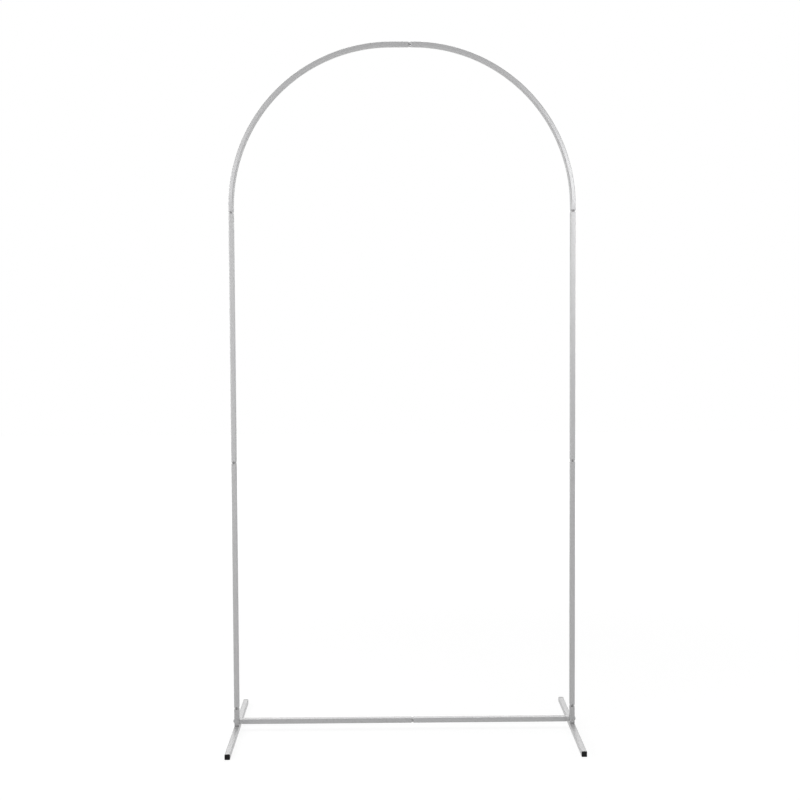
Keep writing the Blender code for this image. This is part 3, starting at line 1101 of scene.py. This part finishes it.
@dataclass
class ArchHalf:
    """One bent half of the arch, from its springing on a post to the crown."""

    shop: Workshop
    side: Side
    springing_run: float = 10 * MILLIMETRE
    crown_run: float = 2 * MILLIMETRE
    bend_steps: int = 60
    side_bulge: float = 0.5 * MILLIMETRE
    bulge_crest: float = -2.6 * MILLIMETRE
    outer_dish: float = 0.45 * MILLIMETRE
    bulge_run: float = 40 * MILLIMETRE
    crown_straight: float = field(init=False)
    leg: float = field(init=False)
    radius: float = field(init=False)
    bend_z: float = field(init=False)
    bend_end: float = field(init=False)
    crown_mouth: float = field(init=False)

    def __post_init__(self) -> None:
        """Work out the run of the middle line."""
        sizes = self.shop.sizes
        joint = PLUG.neck + PLUG.taper
        self.crown_straight = sizes.crown_mouth_x + joint + self.crown_run
        self.leg = joint + self.springing_run
        self.radius = sizes.post_x - self.crown_straight
        self.bend_z = sizes.crown_z - self.radius
        self.bend_end = self.leg + self.radius * QUARTER_TURN
        self.crown_mouth = self.bend_end + self.crown_straight - self.side.value * sizes.crown_mouth_x

    def straighten(self, point: Vector) -> Vector:
        """Place of a point in the straight tube, before it was bent.

        Args:
            point: A point of the bent tube.

        Returns:
            Distance outwards from the middle line, depth, and distance along the tube.
        """
        sizes, reach = self.shop.sizes, self.side.value * point.x
        if point.z < self.bend_z:
            return Vector((reach - sizes.post_x, point.y, point.z - sizes.springing_z))
        if reach < self.crown_straight:
            along = self.bend_end + self.crown_straight - reach
            return Vector((point.z - sizes.crown_z, point.y, along))
        over, up = reach - self.crown_straight, point.z - self.bend_z
        along = self.leg + self.radius * math.atan2(up, over)
        return Vector((math.hypot(over, up) - self.radius, point.y, along))

    def in_bend(self, along: float) -> float:
        """How fully the tube shows the marks of bending at a distance along it."""
        return eased((along - self.leg) / self.bulge_run) * eased((self.bend_end - along) / self.bulge_run)

    def side_weight(self, point: Vector) -> float:
        """Share of the bulge of the front and rear sides, which bending pushes out.

        Its crest lies near the inner side, and from there it falls evenly to the outer one.

        Args:
            point: A point of the bent tube.

        Returns:
            1 on the crest and 0 beside the bulge.
        """
        place = self.straighten(point)
        if abs(place.y) <= abs(place.x) or abs(place.x) >= TUBE.flat:
            return 0.0
        if place.x < self.bulge_crest:
            height = eased((place.x + TUBE.flat) / (self.bulge_crest + TUBE.flat))
        else:
            height = (TUBE.flat - place.x) / (TUBE.flat - self.bulge_crest)
        return height * self.in_bend(place.z)

    def outer_weight(self, point: Vector) -> float:
        """Share of the dish of the outer side, which bending pulls in."""
        place = self.straighten(point)
        return bell(place.y, TUBE.flat) * self.in_bend(place.z) if place.x > abs(place.y) else 0.0

    def build(self) -> None:
        """Bend, swage and dress this half of the arch."""
        sizes, side, label = self.shop.sizes, self.side.value, self.side.label
        feet = PLUG.marks(0.0, -sizes.insertion)
        crown, plugs = [(self.crown_mouth, 1.0)], {0.0: 1}
        if self.side is Side.RIGHT:
            crown = PLUG.marks(self.crown_mouth, self.crown_mouth + sizes.insertion)[::-1]
            plugs[self.crown_mouth] = -1
        start = sizes.under_post(self.side) + UP * (sizes.springing_z - sizes.insertion)
        run = TubeRun.start(f"arch_half_{label}", start, UP, feet[0][1])
        run.follow([*feet, (self.leg, 1.0)])
        middle = Vector((side * self.crown_straight, 0, self.bend_z))
        run.bend(middle, Vector((0, -side, 0)), self.bend_steps)
        run.follow([(self.bend_end, 1.0), *crown])
        skin = run.close()
        skin.press(self.side_weight, self.side_bulge)
        skin.press(self.outer_weight, -self.outer_dish)
        mouths = (0.0, self.crown_mouth)
        self.shop.complete(skin, f"arch_tube_{label}", self.straighten, mouths, plugs)


@dataclass
class Post:
    """The lower and upper tube of one post."""

    shop: Workshop
    side: Side

    def build(self) -> None:
        """Make both tubes."""
        sizes, label = self.shop.sizes, self.side.label
        levels = (
            ("lower", sizes.post_foot_z, sizes.socket_mouth_z, sizes.joint_z),
            ("upper", sizes.joint_z - sizes.insertion, sizes.joint_z, sizes.springing_z),
        )
        for level, tip, mouth, top in levels:
            name, node, origin = f"post_{level}_{label}", f"{level}_post_{label}", sizes.under_post(self.side)
            marks = [*PLUG.marks(mouth, tip), (top, 1.0)]
            StraightTube(name, node, origin, Axis.Z, marks, (mouth, top), mouth).build(self.shop)


@dataclass
class BottomRail:
    """The two tubes of the rail between the feet."""

    shop: Workshop

    def build(self) -> None:
        """Make both tubes."""
        sizes = self.shop.sizes
        mouth, end = sizes.rail_mouth_x, sizes.rail_end_x
        plug = PLUG.marks(mouth, mouth - sizes.insertion)
        halves = (
            (Side.LEFT, [(-end, 1.0), (mouth, 1.0)], None),
            (Side.RIGHT, [*plug, (end, 1.0)], mouth),
        )
        for side, marks, plugged_at in halves:
            name, node, origin = f"rail_half_{side.label}", f"bottom_rail_{side.label}", UP * sizes.rail_z
            mouths = (mouth, side.value * end)
            StraightTube(name, node, origin, Axis.X, marks, mouths, plugged_at).build(self.shop)


@dataclass(frozen=True, kw_only=True)
class SmallPart:
    """A small part of growing and shrinking sections along a line, holed where it needs it."""

    rounding: float
    sides: int | None = None
    hole_sides: int | None = None
    rub_and_end_shade: float = 0.0

    def marks(self) -> Marks:
        """Distance and width of each section."""
        raise NotImplementedError

    def hole(self) -> Marks:
        """Distance and width of the two ends of the hole, if there is one."""
        return []

    def straighten(self, offset: Vector) -> Vector:
        """Place that patterns are read at, by a point's offset from the start."""
        return offset

    def build(self, name: str, start: Vector, direction: Vector) -> Workpiece:
        """Make the part.

        Args:
            name: Name of the piece.
            start: Where the distances start.
            direction: Which way they go.

        Returns:
            The finished piece.
        """
        piece = Workpiece.block(name, start, direction, self.marks(), self.sides)
        if self.hole_sides:
            piece.cut_with(Workpiece.block("drill", start, direction, self.hole(), self.hole_sides))
        piece.round_edges(self.rounding)
        piece.keep_values(lambda point: self.straighten(point - start), lambda point: self.rub_and_end_shade)
        return piece


@dataclass(frozen=True, kw_only=True)
class FootCap(SmallPart):
    """Ribbed plastic plug in one end of a foot, its flange flush with the tube."""

    rounding: float = 0.15 * MILLIMETRE
    flange: float = 3.5 * MILLIMETRE
    edge: float = 0.6 * MILLIMETRE
    edge_steps: int = 6
    dish: float = 0.5 * MILLIMETRE
    dish_width: float = 12 * MILLIMETRE
    dish_steps: int = 5
    rib_height: float = 0.8 * MILLIMETRE
    rib_lead: float = 1.2 * MILLIMETRE
    rib_back: float = 0.6 * MILLIMETRE
    rib_pitch: float = 3.0 * MILLIMETRE
    ribs: int = 3
    plug_length: float = 12 * MILLIMETRE
    clearance: float = 0.3 * MILLIMETRE

    def marks(self) -> Marks:
        """Sections of the cap, from the middle of its outer face inwards.

        Returns:
            Distance inwards and width of each section.
        """
        core = PLUG.size - 2 * self.rib_height
        marks = []
        for step in range(1, self.dish_steps + 1):
            share = step / self.dish_steps
            marks.append((self.dish * (1 - share**2), self.dish_width * share))
        for step in range(self.edge_steps + 1):
            angle = QUARTER_TURN * step / self.edge_steps
            width = TUBE.size - 2 * self.edge * (1 - math.sin(angle))
            marks.append((self.edge * (1 - math.cos(angle)), width))
        marks += [(self.flange, TUBE.size), (self.flange, core)]
        for rib in range(1, self.ribs + 1):
            crest = self.flange + self.clearance + rib * self.rib_pitch
            marks += [(crest - self.rib_lead, core), (crest, PLUG.size), (crest + self.rib_back, core)]
        marks.append((self.flange + self.clearance + self.plug_length, core))
        return marks


@dataclass(frozen=True, kw_only=True)
class RailBolt(SmallPart):
    """Domed bolt with a hexagonal recess, through a socket into the rail's insert."""

    length: float
    rounding: float = 0.18 * MILLIMETRE
    sides: int | None = 48
    hole_sides: int | None = 6
    rub_and_end_shade: float = 0.3
    radius: float = 3 * MILLIMETRE
    head_radius: float = 5.3 * MILLIMETRE
    head_height: float = 2.96 * MILLIMETRE
    rim: float = 0.9 * MILLIMETRE
    key: float = 4 * MILLIMETRE
    key_depth: float = 1.8 * MILLIMETRE
    chamfer: float = 0.75 * MILLIMETRE
    dome_steps: int = 10

    def marks(self) -> Marks:
        """Sections of the bolt, from the tip of its shank to the top of its head.

        Returns:
            Distance from under the head, and width, of each section.
        """
        shank = self.length - self.head_height
        rise = self.head_height - self.rim
        dome = (self.head_radius**2 + rise**2) / (2 * rise)
        whole = math.asin(self.head_radius / dome)
        marks = [
            (-shank, 2 * (self.radius - self.chamfer)),
            (self.chamfer - shank, 2 * self.radius),
            (0.0, 2 * self.radius),
            (0.0, 2 * self.head_radius),
        ]
        for step in range(self.dome_steps):
            angle = whole * (1 - step / self.dome_steps)
            height = self.head_height - dome * (1 - math.cos(angle))
            marks.append((height, 2 * dome * math.sin(angle)))
        return marks

    def hole(self) -> Marks:
        """Bottom of the key's recess and a place above the head."""
        width = 2 * self.key / math.sqrt(3)
        return [(self.head_height - self.key_depth, width), (2 * self.head_height, width)]

    def straighten(self, offset: Vector) -> Vector:
        """Place round the bolt, for the lines of turning."""
        angle = math.atan2(offset.z, offset.y)
        return Vector((math.hypot(offset.y, offset.z), angle * MILLIMETRE, offset.x))


@dataclass(frozen=True, kw_only=True)
class RailInsert(SmallPart):
    """Threaded plug in a rail's end, with a square collar against the socket."""

    rounding: float = 0.25 * MILLIMETRE
    hole_sides: int | None = 36
    collar_length: float = 10 * MILLIMETRE
    collar_size: float = 14 * MILLIMETRE
    depth: float = 20 * MILLIMETRE
    lead: float = 1 * MILLIMETRE
    bore: float = 3.3 * MILLIMETRE

    def marks(self) -> Marks:
        """Sections of the insert, from the collar's outer face into the rail.

        Returns:
            Distance into the rail and width of each section.
        """
        tip = self.collar_length + self.depth
        return [
            (0.0, self.collar_size),
            (self.collar_length, self.collar_size),
            (self.collar_length, PLUG.size),
            (tip - self.lead, PLUG.size),
            (tip, PLUG.size - 2 * self.lead),
        ]

    def hole(self) -> Marks:
        """Ends of the bore, one lead beyond either face."""
        far = self.collar_length + self.depth + self.lead
        return [(-self.lead, 2 * self.bore), (far, 2 * self.bore)]


@dataclass(frozen=True)
class WeldBead:
    """Fillet weld along X whose ripples lie over each other like scales."""

    leg: float = 2.6 * MILLIMETRE
    length: float = 2 * TUBE.flat
    ripples: int = 7
    ripple_steps: int = 10
    ripple_depth: float = 0.28 * MILLIMETRE
    ripple_arc: float = 0.95
    uneven_share: float = 0.3
    uneven_turn: float = 2.3
    bow: float = 0.7 * MILLIMETRE
    end_fullness: float = 0.4
    disc_sides: int = 48
    # Where the painted shade at the bead's two ends starts, as a share of half its length from the middle,
    # and how strong it grows.
    burnt_from: float = 0.55
    burnt: float = 1.6

    def fullness(self, share: float) -> float:
        """Size of the bead's section at a share of its length.

        Args:
            share: Share of the way along the bead.

        Returns:
            Size as a share of the leg.
        """
        whole = self.end_fullness + (1 - self.end_fullness) * math.sin(math.pi * share) ** 0.5
        ripple = share * self.ripples
        scallop = math.sqrt(1 - (self.ripple_arc * (2 * (ripple % 1.0) - 1)) ** 2)
        wave = math.sin(self.uneven_turn * math.floor(ripple) + 1)
        uneven = 1 - self.uneven_share + self.uneven_share * wave
        return whole * (1 - self.ripple_depth * uneven * (1 - scallop) / self.leg)

    def build(self, name: str, root: Vector, outwards: Vector) -> Workpiece:
        """Lay the bead in the corner between a socket and its bar.

        Args:
            name: Name of the piece.
            root: Middle of the corner line.
            outwards: Direction away from the socket, along the bar.

        Returns:
            The finished bead.
        """
        first = root - RIGHTWARDS * self.length / 2
        piece = Workpiece.disc(name, first, RIGHTWARDS, self.leg, self.disc_sides)
        for normal in (outwards, UP):
            bpy.ops.mesh.select_all(action="SELECT")
            bpy.ops.mesh.bisect(plane_co=first, plane_no=normal, clear_inner=True)
        bpy.ops.mesh.select_all(action="SELECT")
        steps = self.ripples * self.ripple_steps
        step = RIGHTWARDS * self.length / steps
        size = self.fullness(0.0)
        piece.resize(size, first)
        for number in range(1, steps + 1):
            new_size = self.fullness(number / steps)
            piece.extrude(step)
            piece.resize(new_size / size, first + step * number)
            size = new_size
        piece.close_shape()

        def crown(point: Vector) -> float:
            """Share of the bow, which is full in the middle of the bead's face."""
            offset = point - root
            return math.sin(2 * math.atan2(offset.z, offset.dot(outwards))) ** 2

        def burn(point: Vector) -> float:
            """Share of painted shade, at the two ends of the bead where it runs into the corner."""
            along = 2 * abs(point.x - root.x) / self.length
            return self.burnt * (along - self.burnt_from) / (1 - self.burnt_from)

        piece.press(crown, self.bow, "X")
        piece.obj.data.shade_smooth()
        # The bead's ends are darkened through the rub mask: painted shade, not rubbing.
        piece.keep_values(lambda point: point - root, burn)
        return piece


@dataclass
class Foot:
    """One foot with all that is on it: bar, caps, socket, welds, insert and bolt."""

    shop: Workshop
    side: Side
    clearance: float = 0.3 * MILLIMETRE

    @property
    def middle(self) -> Vector:
        """Point on the ground under the post."""
        return self.shop.sizes.under_post(self.side)

    def build(self) -> None:
        """Build the foot from the ground up."""
        self.build_bar()
        self.build_socket()
        for end in End:
            self.build_end(end)
        self.build_fastening()

    def build_bar(self) -> None:
        """Make the tube that lies on the ground from front to back."""
        reach, label = self.shop.sizes.bar_end_y, self.side.label
        origin = self.middle + UP * TUBE.size / 2
        marks = [(-reach, 1.0), (reach, 1.0)]
        StraightTube(f"foot_tube_{label}", f"foot_bar_{label}", origin, Axis.Y, marks).build(self.shop)

    def build_socket(self) -> None:
        """Make the upright socket and drill it for the rail bolt."""
        sizes, label = self.shop.sizes, self.side.label
        width = 2 * (RailBolt.radius + self.clearance)
        ends = [(-TUBE.size, width), (TUBE.size, width)]
        axis = self.middle + UP * sizes.rail_z
        cutter = Workpiece.block("drill", axis, RIGHTWARDS, ends, RailBolt.sides)
        marks, mouths = [(sizes.socket_foot_z, 1.0), (sizes.socket_mouth_z, 1.0)], (sizes.socket_mouth_z,)
        name, node = f"socket_{label}", f"post_socket_{label}"
        StraightTube(name, node, self.middle, Axis.Z, marks, mouths).build(self.shop, cutter)

    def build_end(self, end: End) -> None:
        """Make the cap and the weld of one end.

        Args:
            end: The foot's front or rear.
        """
        sizes, place = self.shop.sizes, f"{end.label}_{self.side.label}"
        outwards = Vector((0, end.value, 0))
        face = self.middle + outwards * sizes.foot_end_y + UP * TUBE.size / 2
        self.shop.dress(FootCap().build(f"cap_{place}", face, -outwards), f"foot_cap_{place}", PLASTIC)
        root = self.middle + outwards * (TUBE.size / 2 + self.clearance) + UP * sizes.socket_foot_z
        bead = WeldBead().build(f"bead_{place}", root, outwards)
        self.shop.dress(bead, f"weld_bead_{place}", SHADED_WELD_PAINT)

    def build_fastening(self) -> None:
        """Make the rail's insert and the bolt that holds it."""
        label, outwards = self.side.label, RIGHTWARDS * self.side.value
        axis = self.middle + UP * self.shop.sizes.rail_z
        beside = outwards * (TUBE.size / 2 + self.clearance)
        insert = RailInsert().build(f"insert_{label}", axis - beside, -outwards)
        self.shop.dress(insert, f"rail_insert_{label}", PAINT)
        low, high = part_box(f"rail_bolt_{label}")
        bolt = RailBolt(length=high.x - low.x).build(f"bolt_{label}", axis + beside, outwards)
        self.shop.dress(bolt, f"rail_bolt_{label}", ZINC)


@dataclass(frozen=True)
class SoftBox:
    """A soft box lamp of the studio."""

    name: str
    place: Point
    aim: Point
    width: float
    height: float
    power: float

    def set_up(self) -> None:
        """Hang the lamp and turn it to what it lights."""
        bpy.ops.object.select_all(action="DESELECT")
        bpy.ops.object.light_add(type="AREA", location=self.place)
        lamp = bpy.context.object
        lamp.name = self.name
        lamp.data.shape = "RECTANGLE"
        lamp.data.size = self.width
        lamp.data.size_y = self.height
        lamp.data.energy = self.power
        towards = Vector(self.aim) - Vector(self.place)
        lamp.rotation_euler = towards.to_track_quat("-Z", "Y").to_euler()
        lamp.visible_camera = False


@dataclass(frozen=True)
class Studio:
    """Pale floor, soft lamps, white surroundings and the camera."""

    lamps: tuple[SoftBox, ...] = (
        SoftBox("front_right", (1.5, -2.8, 1.7), (0.3, 0, 1.2), 1.0, 1.15, 17.5),
        SoftBox("front_left", (-1.6, -2.8, 1.6), (-0.3, 0, 1.0), 1.0, 1.4, 17.0),
        SoftBox("side_left", (-2.6, -0.4, 1.4), (-0.4, 0, 1.0), 1.0, 1.8, 25.0),
        SoftBox("side_right", (2.6, -0.4, 1.4), (0.4, 0, 1.0), 1.0, 1.8, 14.0),
        SoftBox("ceiling", (-0.5, 0.8, 7.5), (0, 0, 0), 8.0, 6.0, 245.0),
        SoftBox("rear", (-0.1, 4.2, 3.0), (0, 0, 0.8), 3.0, 2.0, 50.0),
        SoftBox("low_left", (-1.4, -2.0, 0.5), (-0.4, 0, 0.2), 1.0, 0.8, 2.5),
        SoftBox("shoulder_streak", (1.3, -2.7, 1.75), (0.45, 0, 1.65), 0.4, 0.5, 3.2),
    )
    ambient: float = 0.02
    floor_size: float = 16.0
    floor_pale: float = 0.78
    floor_seen: float = 0.22
    near_glow: float = 0.84
    near_floor: float = 1.0
    far_floor: float = 5.0
    camera_place: Point = (-0.05, -3.9, 1.2946)
    camera_pitch: float = 0.0525
    camera_roll: float = 0.005
    camera_yaw: float = -0.0109
    sensor_width: float = 36.0
    focal_length: float = 60.6
    shift_up: float = -0.051

    def build(self) -> None:
        """Set up the whole studio."""
        self.lay_floor()
        self.light_surroundings()
        for lamp in self.lamps:
            lamp.set_up()
        self.place_camera()

    def lay_floor(self) -> None:
        """Lay the pale floor, which glows a little for the camera and keeps the shadow."""
        bpy.ops.object.select_all(action="DESELECT")
        bpy.ops.mesh.primitive_plane_add(size=self.floor_size)
        floor = bpy.context.object
        floor.name = "studio_floor"
        material = bpy.data.materials.new("pale_floor")
        material.use_nodes = True
        material.cycles.emission_sampling = "NONE"
        sheet = NodeSheet(material.node_tree)
        sheet.tree.nodes.remove(sheet.tree.nodes["Principled BSDF"])
        seen = sheet.seen_white()
        matt = sheet.add("BsdfDiffuse", {"Color": sheet.between(seen, self.floor_pale, self.floor_seen)})
        place = sheet.add("TexCoord").outputs["Object"]
        distance = sheet.add("VectorMath", {0: place}, operation="LENGTH").outputs["Value"]
        far = sheet.ramp(distance, self.near_floor, self.far_floor)
        strength = sheet.maths("MULTIPLY", seen, sheet.between(far, self.near_glow, 1.0))
        glow = sheet.add("Emission", {"Strength": strength})
        both = sheet.add("AddShader", {0: matt.outputs[0], 1: glow.outputs[0]})
        sheet.feed(sheet.tree.nodes["Material Output"], "Surface", both.outputs[0])
        floor.data.materials.append(material)

    def light_surroundings(self) -> None:
        """Make the surroundings white to look at, and a soft even light on the arbor."""
        world = bpy.data.worlds.new("studio_world")
        world.use_nodes = True
        sheet = NodeSheet(world.node_tree)
        background = world.node_tree.nodes["Background"]
        background.inputs["Color"].default_value = (1, 1, 1, 1)
        sheet.feed(background, "Strength", sheet.between(sheet.seen_white(), self.ambient, 1.0))
        bpy.context.scene.world = world

    def place_camera(self) -> None:
        """Put the camera where the photograph was taken from."""
        bpy.ops.object.select_all(action="DESELECT")
        turn = (QUARTER_TURN - self.camera_pitch, self.camera_roll, self.camera_yaw)
        bpy.ops.object.camera_add(location=self.camera_place, rotation=turn)
        camera = bpy.context.object
        camera.name = "studio_camera"
        camera.data.sensor_width = self.sensor_width
        camera.data.lens = self.focal_length
        camera.data.shift_y = self.shift_up
        bpy.context.scene.camera = camera


def main() -> None:
    """Load the frame, build the arbor's pieces around it, and set up the studio."""
    logging.basicConfig(level=logging.INFO, format="%(message)s")
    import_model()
    shop = Workshop(FrameSizes.read())
    for side in Side:
        Foot(shop, side).build()
        Post(shop, side).build()
        ArchHalf(shop, side).build()
    BottomRail(shop).build()
    Studio().build()
    bpy.context.scene.view_settings.view_transform = "Standard"


if __name__ == "__main__":
    main()
